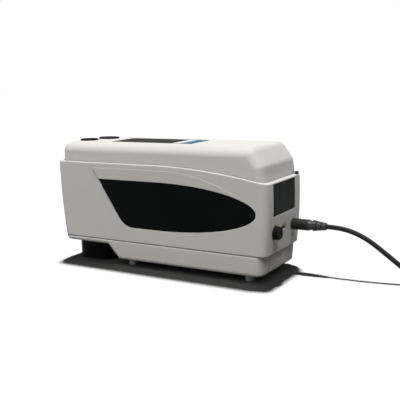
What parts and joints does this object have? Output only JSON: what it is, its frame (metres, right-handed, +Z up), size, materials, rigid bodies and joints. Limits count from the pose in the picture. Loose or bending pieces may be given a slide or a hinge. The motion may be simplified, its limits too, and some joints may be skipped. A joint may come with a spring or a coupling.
{
  "type": "colorimeter",
  "caption": "Hand-held colorimeter: grey three-shell housing with black side inlays, a dark display window with keys on top, a measuring nose below the front and a charging lead at the rear.",
  "frame": {"origin": "centre of the measuring port, on the plane that the instrument rests on", "axes": "+X runs from the measuring port to the rear panel along the longest side, +Y across the instrument, +Z up out of the display"},
  "size_m": [0.361, 0.0753, 0.107],
  "materials": {
    "housing_grey": "warm light grey moulded shell, fine texture",
    "inlay_black": "near-black fine texture",
    "black_rubber": "matt moulded rubber",
    "window": "dark tinted glossy window",
    "lcd": "liquid crystal panel",
    "board_green": "circuit board lacquer",
    "nose_black": "matt black, non-reflecting",
    "white_diffuser": "white diffusing coating",
    "optical_glass": "clear polished",
    "bright_metal": "plated",
    "lens_tube": "black anodised",
    "steel_sheet": "folded sheet",
    "cell_wrap": "shrink wrap",
    "pale_rubber": "pale translucent foot",
    "cord_black": "black PVC sheath",
    "flex_amber": "polyimide film",
    "label_dark": "bare dark label"
  },
  "bodies": {
    "housing": {"top_cover": "housing_grey", "middle_housing": "housing_grey", "bottom_cover": "housing_grey", "side_inlay_near": "inlay_black", "side_inlay_far": "inlay_black", "display_window": "window", "lcd_module": "lcd", "display_board": "board_green", "board_components": "nose_black", "flex_cable": "flex_amber", "key_mat": "black_rubber", "main_board": "board_green", "board_screws": "bright_metal", "housing_screws": "bright_metal", "dc_jack": "nose_black", "usb_socket": "bright_metal", "power_switch": "nose_black", "rear_label_plate": "label_dark", "strap_eyelet": "nose_black", "nose_barrel": "nose_black", "nose_nut": "lens_tube", "aperture_ring": "lens_tube", "port_glass": "optical_glass", "sphere_lower": "white_diffuser", "sphere_upper": "white_diffuser", "sensor_tube": "lens_tube", "sensor_lens": "optical_glass", "sensor_board": "board_green", "led_board": "board_green", "optics_bracket": "steel_sheet", "bracket_screws": "bright_metal", "battery_cell": "cell_wrap", "battery_tray": "nose_black", "battery_contacts": "bright_metal", "feet": "pale_rubber", "plug_barrel": "bright_metal", "plug_grip": "cord_black", "lead_cord": "cord_black", "lead_coil": "cord_black", "usb_plug_body": "cord_black", "usb_plug_shell": "bright_metal"},
    "measure_key": {"measure_key": "black_rubber"},
    "menu_key": {"menu_key": "black_rubber"},
    "power_button": {"power_button": "inlay_black"},
    "battery_door": {"battery_door": "housing_grey"}
  },
  "joints": [
    {"name": "measure_key_press", "type": "slide", "parent": "housing", "child": "measure_key", "axis": [0, 0, -1], "range_m": [0, 0.0008], "stiffness_N_per_m": 600},
    {"name": "menu_key_press", "type": "slide", "parent": "housing", "child": "menu_key", "axis": [0, 0, -1], "range_m": [0, 0.0008], "stiffness_N_per_m": 600},
    {"name": "power_button_press", "type": "slide", "parent": "housing", "child": "power_button", "axis": [-1, 0, 0], "range_m": [0, 0.0025], "stiffness_N_per_m": 800},
    {"name": "battery_door_slide", "type": "slide", "parent": "housing", "child": "battery_door", "axis": [1, 0, 0], "range_m": [0, 0.012]}
  ]
}
